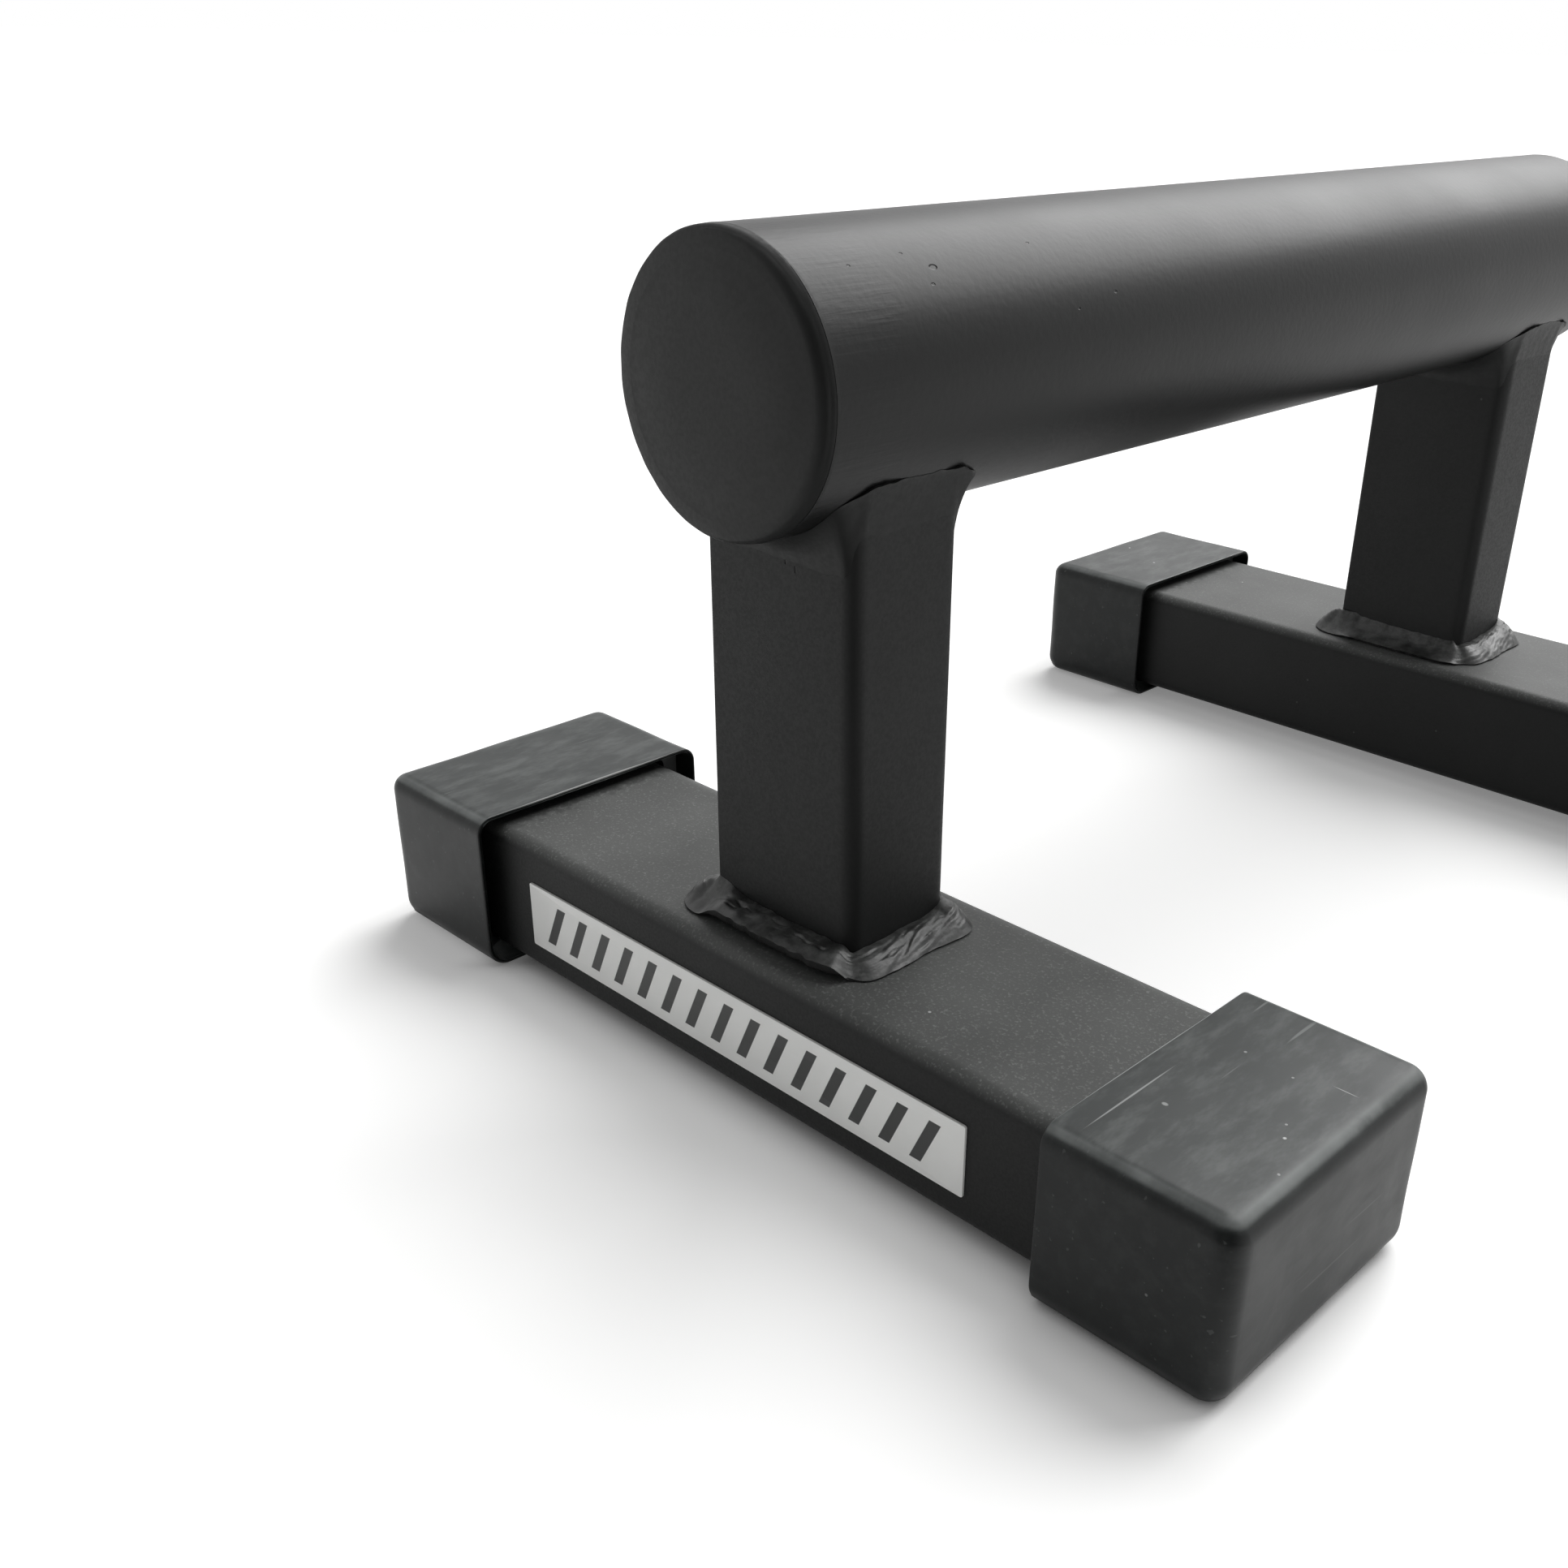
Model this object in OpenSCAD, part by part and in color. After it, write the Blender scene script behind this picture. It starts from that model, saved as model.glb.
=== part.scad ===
// Parallette bar: a thick round grip on two posts, each post on a flat base bar with rubber end caps.
// X runs along the base bars, Y along the grip, Z up. The origin is on the floor, under the middle.
// The front is the side with the label, towards -Y.

/* [Grip] */
// Outside diameter of the grip tube
grip_d = 48.3; // [40:0.1:60]
// Wall of the grip tube
grip_wall = 3.2; // [2:0.1:5]
// Length of the grip over its closed ends
grip_l = 290; // [280:1:500]
// Height of the grip's axis above the floor
grip_h = 134; // [115:1:250]
// Depth to which an end plate sits inside the tube
end_plate_seat = 3; // [1:0.5:10]
// Play between an end plate and the bore of the tube
end_plate_play = 0.15; // [0.05:0.05:0.4]

/* [Base bars] */
// Distance from an end of the grip back to the middle of its post and base bar
post_inset = 26.5; // [22:0.5:60]
// Length of a base bar, without its caps
bar_l = 214; // [180:1:400]
// Width of a base bar
bar_w = 50; // [46:1:80]
// Height of a base bar
bar_h = 30; // [25:1:40]
// Wall of a base bar
bar_wall = 2.5; // [1.5:0.1:4]
// Outer radius on the long edges of a base bar
bar_r = 4.5; // [3:0.1:6]

/* [Posts] */
// Width of a post, along the base bar
post_w = 36; // [28:1:40]
// Depth of a post, along the grip
post_d = 26; // [18:1:30]
// Wall of a post
post_wall = 2; // [1.5:0.1:4]
// Outer radius on the upright edges of a post
post_r = 3; // [2:0.1:5]

/* [Foot caps] */
// Length of a foot cap
cap_l = 36; // [20:1:50]
// Thickness of the closed end of a foot cap
cap_end = 4; // [3:0.5:8]
// Thickness of a foot cap over and under the base bar
cap_wall = 2.8; // [2:0.1:5]
// Thickness of the sides of a foot cap
cap_side = 4.6; // [2:0.1:6]
// Slack between a foot cap and the sides and top of the bar
cap_slack = 0.2; // [0.1:0.05:0.6]
// Radius on the outer edges of a foot cap
cap_r = 5; // [2:0.5:7]

/* [Welds] */
// Width of the weld around the foot of a post, on the base bar
foot_weld_out = 7.5; // [3:0.5:10]
// Height of the weld around the foot of a post
foot_weld_up = 6; // [3:0.5:10]
// Outward swell of the face of the foot weld
foot_weld_swell = 0.8; // [0.2:0.1:1.5]
// Reach of the weld along the underside of the grip
saddle_weld_out = 5; // [2:0.5:6]
// Depth of that weld down the sides of a post
saddle_weld_down = 9; // [4:0.5:14]
// Hollow in the face of that weld
saddle_weld_hollow = 1; // [0.2:0.1:1.5]

/* [Label] */
// Length of the blank label
label_l = 121; // [40:1:130]
// Height of the blank label
label_h = 14.6; // [6:0.1:18]
// Thickness of the blank label
label_t = 0.5; // [0.2:0.1:1]
// Shift of the label from the middle of the base bar
label_shift = -3.5; // [-8:0.5:8]
// Drop of the label from the middle of the bar's height
label_drop = 1; // [-1:0.5:1]

/* [Hidden] */

// The two ends of the bar along Y, and the two ends of a base bar along X
front = -1;
rear = 1;
left = -1;
right = 1;

$fn = 96;
// Length by which a cutting solid runs past what it cuts
past = 1;

grip_r = grip_d / 2;
bore_r = grip_r - grip_wall;
end_plate_r = bore_r - end_plate_play;
// The ground weld rounds off the whole step between the plate and the outside of the tube
end_round = grip_r - end_plate_r;
tube_l = grip_l - 2 * end_round;
// Distance between the middles of the two base bars
bar_spacing = grip_l - 2 * post_inset;

// The base bar lies on the lower wall of its caps
bar_top = cap_wall + bar_h;
cap_x = bar_l / 2 + cap_end;
cap_w = bar_w + 2 * (cap_side + cap_slack);
cap_h = bar_top + cap_slack + cap_wall;

// Length of a step along a weld bead, steps around each corner of it, and steps across its face
bead_step = 4;
corner_steps = 5;
face_steps = 5;
// Gap that keeps the flat facets of a bead clear of the round of the grip
bead_gap = 0.06;
// The bead along the grip ends short of the widest part of the tube
grip_shoulder = 1;
saddle_out = min(saddle_weld_out, grip_r - grip_shoulder - post_w / 2);
// The bead round the foot of a post stays on the flat top of the base bar
foot_out = min(foot_weld_out, bar_w / 2 - bar_r - post_d / 2);

// A rectangle with round corners, centred on the origin
module rounded_rectangle(w, h, r) {
    square([w - 2 * r, h], center = true);
    square([w, h - 2 * r], center = true);
    for (x = [-1, 1], y = [-1, 1])
        translate([x * (w / 2 - r), y * (h / 2 - r)]) circle(r);
}

// The section of a rectangular tube, with inner corners that follow the outer ones
module rectangular_tube(w, h, wall, r) {
    difference() {
        rounded_rectangle(w, h, r);
        rounded_rectangle(w - 2 * wall, h - 2 * wall, max(r - wall, 0.1));
    }
}

// Extrudes a section drawn in Y and Z along X, centred on x = 0
module along_x(l) {
    rotate([90, 0, 90]) translate([0, 0, -l / 2]) linear_extrude(l) children();
}

// Turns an upright solid so that its axis runs along Y, with its top towards the given end
module along_y(end) {
    rotate([-90 * end, 0, 0]) children();
}

module grip_tube() {
    color("#2b2c2d")
    translate([0, 0, grip_h]) along_y(rear) difference() {
        cylinder(h = tube_l, r = grip_r, center = true);
        cylinder(h = tube_l + 2 * past, r = bore_r, center = true);
    }
}

module grip_end_plate(end) {
    color("#262626")
    translate([0, 0, grip_h]) along_y(end)
        translate([0, 0, tube_l / 2 - end_plate_seat])
            cylinder(h = end_plate_seat + end_round, r = end_plate_r);
}

// A ring with a quarter-round section, ground flush with the tube and the plate
module grip_end_weld(end) {
    color("#262626")
    translate([0, 0, grip_h]) along_y(end)
        translate([0, 0, tube_l / 2]) rotate_extrude() intersection() {
            translate([end_plate_r, 0]) square(end_round);
            translate([end_plate_r, 0]) circle(end_round);
        }
}

// The top of a post is cut to the round of the grip tube
module post(end) {
    color("#2a2b2c")
    translate([0, end * bar_spacing / 2, 0]) difference() {
        translate([0, 0, bar_top])
            linear_extrude(grip_h - bar_top)
                rectangular_tube(post_w, post_d, post_wall, post_r);
        translate([0, 0, grip_h]) along_y(rear)
            cylinder(h = post_d + 2 * past, r = grip_r, center = true);
    }
}

module base_bar(end) {
    color("#2d2e2f")
    translate([0, end * bar_spacing / 2, cap_wall + bar_h / 2])
        along_x(bar_l) rectangular_tube(bar_w, bar_h, bar_wall, bar_r);
}

// A boot with a closed round end. The bar lies on its floor and stops against its end.
module foot_cap(end, side) {
    mouth_x = cap_x - cap_l;
    color("#303233")
    translate([0, end * bar_spacing / 2, 0]) mirror([side == left ? 1 : 0, 0, 0]) difference() {
        intersection() {
            translate([mouth_x + cap_l / 2, 0, cap_h / 2])
                along_x(cap_l) rounded_rectangle(cap_w, cap_h, cap_r);
            translate([mouth_x - past, 0, 0])
                linear_extrude(cap_h) round_ended(cap_l + past, cap_w);
            translate([mouth_x - past, cap_w / 2, cap_h / 2])
                rotate([90, 0, 0]) linear_extrude(cap_w) round_ended(cap_l + past, cap_h);
        }
        translate([0, 0, cap_wall + (bar_h + cap_slack) / 2])
            along_x(bar_l)
                rounded_rectangle(bar_w + 2 * cap_slack, bar_h + cap_slack, bar_r);
    }
}

// A strip from x = 0 to x = l, with its two far corners rounded
module round_ended(l, w) {
    translate([0, -w / 2]) square([l - cap_r, w]);
    translate([0, cap_r - w / 2]) square([l, w - 2 * cap_r]);
    for (y = [-1, 1]) translate([l - cap_r, y * (w / 2 - cap_r)]) circle(cap_r);
}

// Stations round the outline of a post, anticlockwise: [x, y, direction outwards]
function corner_stations(x, y, from) = [
    for (i = [0 : corner_steps])
        let (a = from + 90 * i / corner_steps)
        [x + post_r * cos(a), y + post_r * sin(a), a]
];

function side_stations(a, b) =
    let (steps = ceil(norm([b[0] - a[0], b[1] - a[1]]) / bead_step))
    [for (i = [1 : steps - 1])
        let (t = i / steps)
        [a[0] + (b[0] - a[0]) * t, a[1] + (b[1] - a[1]) * t, a[2]]];

function post_stations() =
    let (
        x = post_w / 2 - post_r,
        y = post_d / 2 - post_r,
        corners = [
            corner_stations(x, y, 0), corner_stations(-x, y, 90),
            corner_stations(-x, -y, 180), corner_stations(x, -y, 270)
        ]
    )
    [for (i = [0 : 3]) each concat(corners[i],
        side_stations(corners[i][corner_steps], corners[(i + 1) % 4][0]))];

// A point at a distance outwards from a station, at height z
function outwards(s, distance, z) =
    [s[0] + distance * cos(s[2]), s[1] + distance * sin(s[2]), z];

// A point at a distance outwards from a station, just under the round of the grip
function under_grip(s, distance) =
    let (p = outwards(s, distance, 0), r = grip_r + bead_gap)
    [p[0], p[1], grip_h - sqrt(r * r - p[0] * p[0])];

// The outline of a bead at one station: its face from toe to toe, then its root in the corner
function foot_bead(s) = [
    for (i = [0 : face_steps])
        let (t = i / face_steps, swell = foot_weld_swell * sin(180 * t) * sin(45))
        outwards(s, foot_out * (1 - t) + swell, bar_top + foot_weld_up * t + swell),
    outwards(s, 0, bar_top)
];

function saddle_bead(s) =
    let (
        low = under_grip(s, 0) - [0, 0, saddle_weld_down],
        far = under_grip(s, saddle_out)
    ) [
        for (i = [0 : face_steps - 1])
            let (t = i / face_steps, hollow = saddle_weld_hollow * sin(180 * t) * sin(45))
            low + (far - low) * t + [-hollow * cos(s[2]), -hollow * sin(s[2]), hollow],
        for (i = [0 : face_steps]) under_grip(s, saddle_out * (1 - i / face_steps))
    ];

// A closed loop of bead outlines round the post
module bead_loop(rings) {
    n = len(rings);
    m = len(rings[0]);
    polyhedron(
        points = [for (ring = rings) each ring],
        faces = [for (i = [0 : n - 1], j = [0 : m - 1])
            let (
                next = (i + 1) % n,
                k = (j + 1) % m,
                a = i * m + j,
                b = i * m + k,
                c = next * m + k,
                d = next * m + j
            )
            each [[a, c, b], [a, d, c]]]
    );
}

module post_foot_weld(end) {
    color("#3a3b3c")
    translate([0, end * bar_spacing / 2, 0])
        bead_loop([for (s = post_stations()) foot_bead(s)]);
}

module post_saddle_weld(end) {
    color("#333435")
    translate([0, end * bar_spacing / 2, 0])
        bead_loop([for (s = post_stations()) saddle_bead(s)]);
}

module front_label() {
    color("#cfd2d0")
    translate([label_shift - label_l / 2, front * (bar_spacing + bar_w) / 2 - label_t,
               cap_wall + (bar_h - label_h) / 2 - label_drop])
        cube([label_l, label_t, label_h]);
}

grip_tube();
grip_end_plate(front);  // front_grip_end_plate
grip_end_plate(rear);  // rear_grip_end_plate
grip_end_weld(front);  // front_grip_end_weld
grip_end_weld(rear);  // rear_grip_end_weld
post(front);  // front_post
post(rear);  // rear_post
post_saddle_weld(front);  // front_post_saddle_weld
post_saddle_weld(rear);  // rear_post_saddle_weld
post_foot_weld(front);  // front_post_foot_weld
post_foot_weld(rear);  // rear_post_foot_weld
base_bar(front);  // front_base_bar
base_bar(rear);  // rear_base_bar
foot_cap(front, left);  // front_left_foot_cap
foot_cap(front, right);  // front_right_foot_cap
foot_cap(rear, left);  // rear_left_foot_cap
foot_cap(rear, right);  // rear_right_foot_cap
front_label();
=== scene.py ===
"""Looks of the parallette bar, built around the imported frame.

X runs along the base bars, Y along the grip and Z up. Lengths are in metres.
"""
import math

import bmesh
import bpy
from mathutils import Matrix, Vector, noise


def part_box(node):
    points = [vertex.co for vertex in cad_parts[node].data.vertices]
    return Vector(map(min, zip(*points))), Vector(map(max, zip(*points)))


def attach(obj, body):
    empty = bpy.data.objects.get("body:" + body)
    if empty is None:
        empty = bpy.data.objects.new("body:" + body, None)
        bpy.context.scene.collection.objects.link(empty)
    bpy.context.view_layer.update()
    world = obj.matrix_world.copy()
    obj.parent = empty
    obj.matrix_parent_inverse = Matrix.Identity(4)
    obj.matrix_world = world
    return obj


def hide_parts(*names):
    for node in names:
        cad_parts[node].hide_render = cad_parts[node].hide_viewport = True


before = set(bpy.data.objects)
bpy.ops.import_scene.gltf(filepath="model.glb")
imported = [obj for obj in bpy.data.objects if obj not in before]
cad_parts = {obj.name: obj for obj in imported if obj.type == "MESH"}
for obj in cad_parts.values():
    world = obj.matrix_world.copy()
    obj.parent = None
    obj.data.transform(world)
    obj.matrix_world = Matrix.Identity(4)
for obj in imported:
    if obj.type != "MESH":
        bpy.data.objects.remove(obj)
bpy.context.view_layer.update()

MM = 0.001
FRONT = -1
REAR = 1
ENDS = {"front": FRONT, "rear": REAR}
SIDES = {"left": -1, "right": 1}

# The photograph's side in pixels, and the camera that sees the object as it does: its place in metres,
# its turns in degrees, its focal length and centre in pixels and its sensor in millimetres
PHOTO_SIDE = 1932
CAMERA_PLACE = (0.1960, -0.3136, 0.1838)
CAMERA_YAW = 43.25
CAMERA_PITCH = 27.21
CAMERA_ROLL = 1.12
CAMERA_FOCAL = 2009.7
CAMERA_CENTRE = (1083.1, 1071.9)
SENSOR = 36

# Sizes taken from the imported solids
grip_low, grip_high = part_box("grip_tube")
GRIP_R = (grip_high[0] - grip_low[0]) / 2
GRIP_Z = (grip_high[2] + grip_low[2]) / 2
TUBE_END = grip_high[1]
plate_low, plate_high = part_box("rear_grip_end_plate")
PLATE_R = plate_high[0]
PLATE_IN = plate_low[1]
GRIP_END = plate_high[1]
post_low, post_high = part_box("rear_post")
POST_X = post_high[0]
POST_HALF_Y = (post_high[1] - post_low[1]) / 2
POST_Y = (post_high[1] + post_low[1]) / 2
bar_low, bar_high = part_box("rear_base_bar")
BAR_X = bar_high[0]
BAR_HALF_Y = (bar_high[1] - bar_low[1]) / 2
BAR_HALF_Z = (bar_high[2] - bar_low[2]) / 2
BAR_Z = (bar_high[2] + bar_low[2]) / 2
BAR_TOP = bar_high[2]
cap_low, cap_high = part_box("rear_right_foot_cap")
CAP_MOUTH = cap_low[0]
CAP_END = cap_high[0]
CAP_HALF_Y = (cap_high[1] - cap_low[1]) / 2
CAP_TOP = cap_high[2]

# Walls and corner radii of the tubes, which the boxes above don't give
GRIP_WALL = 3.2 * MM
POST_WALL = 2 * MM
POST_R = 3 * MM
POST_RADII = (POST_R, POST_R, 1 * MM, POST_R)
BAR_WALL = 2.5 * MM
BAR_R = 3.2 * MM
BAR_RADII = {"front": (6 * MM, BAR_R, BAR_R, BAR_R), "rear": (BAR_R,) * 4}
CAP_SLACK = 0.2 * MM

# Pits and marks seen on the front end, as centres and half sizes in millimetres
POST_PITS = (
    ((1.9, -131.5, 104.8), (0.3, 1, 0.6)),
    ((4.2, -131.5, 103.9), (0.3, 1, 0.7)),
    ((6.8, -131.5, 105.7), (0.35, 1, 0.35)),
    ((12.5, -131.5, 106.6), (0.9, 1, 0.7)),
)
# Pale specks and scratches on the caps, and at x ±75.25 mm two long lines along the mouths' top edges,
# which are painted highlights
CAP_MARKS_AND_HIGHLIGHTS = (
    ((80, -131.5, 35.6), (0.22, 13.5, 1.2)),
    ((85, -129.4, 35.6), (0.7, 0.5, 1)),
    ((85.9, -107.8, 35.6), (0.35, 0.35, 1)),
    ((107.1, -132.2, 35.2), (0.35, 0.35, 1)),
    ((101.4, -120.7, 35.6), (0.3, 0.3, 1)),
    ((95.4, -108.8, 35.6), (0.3, 0.3, 1)),
    ((103.5, -106.2, 35.6), (2.6, 0.14, 1)),
    ((-75.25, -118.5, 35.6), (0.3, 24, 1)),
    ((75.25, -118.5, 35.6), (0.25, 26, 1)),
)
# Pits in the grip, each a turn about its axis in degrees, a place along it and a half size in millimetres
GRIP_PITS = (
    (45.9, -113.5, 1.0),
    (39, -115.5, 0.5),
    (26.2, -71.6, 0.5),
    (21.8, -82.6, 0.4),
    (52, -88.1, 0.4),
    (53.7, -118.3, 0.4),
    (50.8, -130.7, 0.4),
)
# A pit is narrower round the grip than along it
PIT_WIDTH = 0.62

# The dust and its painted sheen thin out on the left of a bar, which paints shade by the left caps'
# mouths, over this stretch of X and with an edge this ragged
DUST_AND_SHEEN_FROM = -74.5 * MM
DUST_AND_SHEEN_FULL = -71.5 * MM
DUST_AND_SHEEN_RAGGED = 1.5 * MM
# The brushed streaks of the grip's coat fade over this stretch of Y
STREAKS_FULL = -128 * MM
STREAKS_FAINT = -122 * MM

# Pairs of colours are mixed by a noise
FRAME_BLACKS = ((0.0066, 0.0070, 0.0069), (0.0090, 0.0095, 0.0094))
# Dust with a painted sheen: it makes the tops lighter, as if lit from above
FRAME_DUST_AND_SHEEN = (0.091, 0.0938, 0.0912)
# Painted glints in the grain of the lit tops
FRAME_GLINT = (0.19, 0.195, 0.19)
FRAME_SPECK = (0.42, 0.43, 0.42)
GRIP_BLACKS = ((0.0034, 0.0036, 0.0036), (0.0048, 0.0051, 0.0051))
PIT_BLACK = (0.001, 0.001, 0.001)
MATT_BLACKS = ((0.0074, 0.0078, 0.0077), (0.0094, 0.0098, 0.0097))
WELD_BLACKS = ((0.007, 0.0073, 0.0071), (0.012, 0.0124, 0.012))
# A painted light on the welds, paler where they look up
WELD_PAINTED_LIGHT = (0.105, 0.108, 0.105)
RUBBER_BLACKS = ((0.0095, 0.0106, 0.0106), (0.0140, 0.0154, 0.0152))
# Dust with a painted sheen on the caps' tops, lighter as if lit from above
RUBBER_TOP_DUST_AND_SHEEN = (0.036, 0.0396, 0.0390)
RUBBER_SCUFF = (0.092, 0.098, 0.096)
# A painted highlight along the caps' rounded upper edges
RUBBER_EDGE_HIGHLIGHT = (0.17, 0.18, 0.177)
RUBBER_SCRATCH = (0.16, 0.17, 0.166)
RUBBER_SPECK = (0.5, 0.51, 0.5)
FILM_GREYS = ((0.92, 0.925, 0.905), (0.96, 0.965, 0.945))
INK = (0.03, 0.031, 0.03)
FLOOR_COLOUR = (0.97, 0.97, 0.965, 1)
CARD_COLOUR = (0.01, 0.01, 0.01, 1)

# The label's slanted stripes, and the plain film left at its ends
LABEL_STRIPES = 15
LABEL_MARGIN = 5 * MM
STRIPE_LEAN = 0.45
STRIPE_HALF_HEIGHT = 4.7 * MM
STRIPE_BLUR = 0.1 * MM
# Where a stripe's side starts to fade and where it has faded, in shares of the pitch from its middle
STRIPE_SIDE = (0.17, 0.19)

FLOOR_REACH = 30
# A painted glow, seen only by the rays that show the floor itself, lifts the floor and its shadows towards
# white
FLOOR_GLOW = 0.24
# The glow fades where anything stands within this reach of the floor, which paints a contact shade there
CONTACT_REACH = 11 * MM
# This share of it stays behind the first stretch, of Y, and left of the second, of X
GLOW_KEPT = 0.9
GLOW_BEHIND = (0.04, 0.11)
GLOW_ASIDE = (-0.085, -0.07)

# Black cards outside the photograph darken what the edges that face the camera reflect.
# The first lies on the floor and the second stands.
CARD_EDGE = ((0.02, -0.285), (0.17, -0.135))
CARD_DEPTH = 0.9
CARD_LIFT = 1 * MM
SCREEN_ENDS = ((-0.12, -0.72), (0.62, -0.28))
SCREEN_TOP = 0.7
SCREEN_LIFT = 2 * MM

# Strengths of the light, and where the lamps stand and how wide they are in degrees
WORLD_LIGHT = 0.28
OVERHEAD_LIGHT = 0.1
OVERHEAD_TOWARDS = (0, 0.35, 0.94)
OVERHEAD_ANGLE = 14
BACK_LIGHT = 3.3
BACK_TOWARDS = (-0.04, 0.68, 0.73)
BACK_ANGLE = 54

# Steps round the grip and along it
GRIP_STEPS = 180
GRIP_TURNS = [2 * math.pi * k / GRIP_STEPS for k in range(GRIP_STEPS)]
GRIP_LENGTHS = 150
# Where the tube meets its ends, this much of the tube and of the end stays smooth
TUBE_SMOOTH = 1 * MM
END_SMOOTH = 0.4 * MM

# The grip's end is domed round a flat middle, and its edge is rounded more on the right than on the left
END_FLAT_R = 8 * MM
END_DOME = 1 * MM
END_EDGE_LEFT = 0.7 * MM
END_EDGE_RIGHT = 3 * MM
END_EDGE_ARC = math.radians(80)
END_EDGE_STEPS = 12
DISC_RINGS = 20

# Steps round the corners, along the long faces and along the short ones
POST_STEPS = (8, 33, 23)
BAR_STEPS = (10, 41, 21)
CAP_STEPS = (12, 44, 24)
BEAD_STEPS = (36, 75, 50)
LABEL_STEPS = (6, 60, 8)
POST_HEIGHTS = 70
BAR_LENGTHS = 160

# Radii of a cap's long corners and of the bend over its end
CAP_UPPER_R = 3.8 * MM
CAP_LOWER_R = 5 * MM
CAP_LEAST_R = 0.5 * MM
CAP_BEND_R = 4.6 * MM
# The thin rim of its mouth, the radius of the lip and the wider pocket before it grips the bar
CAP_RIM = 0.9 * MM
CAP_LIP = 0.45 * CAP_RIM
CAP_POCKET = 5 * MM
CAP_POCKET_WALL = CAP_RIM + 0.9 * MM
CAP_GRIPS_FROM = 1.2 * CAP_POCKET
# The rings over its end stop this far from the middle line
CAP_END_GAP = 0.7 * MM
CAP_LIP_STEPS = 6
CAP_LENGTHS = 40
CAP_BEND_STEPS = 12
CAP_END_RINGS = 8
# Below this height the underside of a cap stays flat
CAP_FLAT_TO = 2 * MM

FOOT_WELD_OUT = 7.5 * MM
FOOT_WELD_HIGH = 5.9 * MM
FOOT_WELD_LEAST = 0.05 * MM
FOOT_ACROSS = 30
SADDLE_LOW = 105.2 * MM
SADDLE_ACROSS = 26
# A weld reaches this far into the wall of its post
WELD_SINK = 0.3 * MM
# Two runs of a foot weld meet at its post's front right corner, at this turn in degrees
SEAM_TURN = -42
# The run before a post is a raised plate to the right of this stretch of X, and only faintly at the rear
PLATE_FROM = -17 * MM
PLATE_FULL = -11 * MM
PLATE_SHARES = {FRONT: 1, REAR: 0.15}
# What each foot weld gains in height, in millimetres
FOOT_RISES = {FRONT: 0, REAR: 1}
# The saddle weld stands off the grip at these places, from the middle of the post along Y
SADDLE_GAPS = (-9 * MM, 11 * MM)

LABEL_EDGE = 0.15 * MM
LABEL_CORNER_R = 0.45 * MM


def make_camera():
    yaw, pitch, roll = (math.radians(angle) for angle in (CAMERA_YAW, CAMERA_PITCH, CAMERA_ROLL))
    level_share = math.cos(pitch)
    forward = Vector((-math.sin(yaw) * level_share, math.cos(yaw) * level_share, -math.sin(pitch)))
    level = Vector((math.cos(yaw), math.sin(yaw), 0))
    upright = level.cross(forward)
    right = level * math.cos(roll) + upright * math.sin(roll)
    up = upright * math.cos(roll) - level * math.sin(roll)
    data = bpy.data.cameras.new("camera")
    data.sensor_width = SENSOR
    data.lens = CAMERA_FOCAL / PHOTO_SIDE * SENSOR
    data.shift_x = (PHOTO_SIDE / 2 - CAMERA_CENTRE[0]) / PHOTO_SIDE
    data.shift_y = (CAMERA_CENTRE[1] - PHOTO_SIDE / 2) / PHOTO_SIDE
    data.clip_start = 0.01
    camera = bpy.data.objects.new("camera", data)
    turned = Matrix((right, up, -forward)).transposed().to_4x4()
    camera.matrix_world = Matrix.Translation(CAMERA_PLACE) @ turned
    bpy.context.collection.objects.link(camera)
    bpy.context.scene.camera = camera


def new_material(name):
    material = bpy.data.materials.new(name)
    material.use_nodes = True
    tree = material.node_tree
    shader = tree.nodes["Principled BSDF"]
    return material, tree, shader


def place_in_object(tree, stretch=(1, 1, 1), turn=(0, 0, 0)):
    """The object's own coordinates in metres, stretched and turned for a pattern that runs one way."""
    coordinates = tree.nodes.new("ShaderNodeTexCoord")
    mapping = tree.nodes.new("ShaderNodeMapping")
    mapping.inputs["Scale"].default_value = stretch
    mapping.inputs["Rotation"].default_value = [math.radians(angle) for angle in turn]
    tree.links.new(coordinates.outputs["Object"], mapping.inputs["Vector"])
    return mapping.outputs["Vector"]


def part_of(tree, vector, axis):
    """One part of a vector, by the letter of its axis."""
    split = tree.nodes.new("ShaderNodeSeparateXYZ")
    tree.links.new(vector, split.inputs["Vector"])
    return split.outputs[axis]


def noise_value(tree, vector, waves, detail=2, rough=0.5, warp=0):
    """A noise from 0 to 1 with the given number of waves a metre."""
    texture = tree.nodes.new("ShaderNodeTexNoise")
    texture.inputs["Scale"].default_value = waves
    texture.inputs["Detail"].default_value = detail
    texture.inputs["Roughness"].default_value = rough
    texture.inputs["Distortion"].default_value = warp
    tree.links.new(vector, texture.inputs["Vector"])
    return texture.outputs["Fac"]


def to_range(tree, value, from_low, from_high, to_low, to_high):
    """Maps a value smoothly from one range to another, and clamps it."""
    node = tree.nodes.new("ShaderNodeMapRange")
    node.interpolation_type = "SMOOTHSTEP"
    node.inputs["From Min"].default_value = from_low
    node.inputs["From Max"].default_value = from_high
    node.inputs["To Min"].default_value = to_low
    node.inputs["To Max"].default_value = to_high
    tree.links.new(value, node.inputs["Value"])
    return node.outputs["Result"]


def combine(tree, operation, first, second=0):
    """Math on one or two values, each a socket or a number."""
    node = tree.nodes.new("ShaderNodeMath")
    node.operation = operation
    for socket, value in zip(node.inputs, (first, second)):
        if isinstance(value, (int, float)):
            socket.default_value = value
        else:
            tree.links.new(value, socket)
    return node.outputs["Value"]


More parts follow.
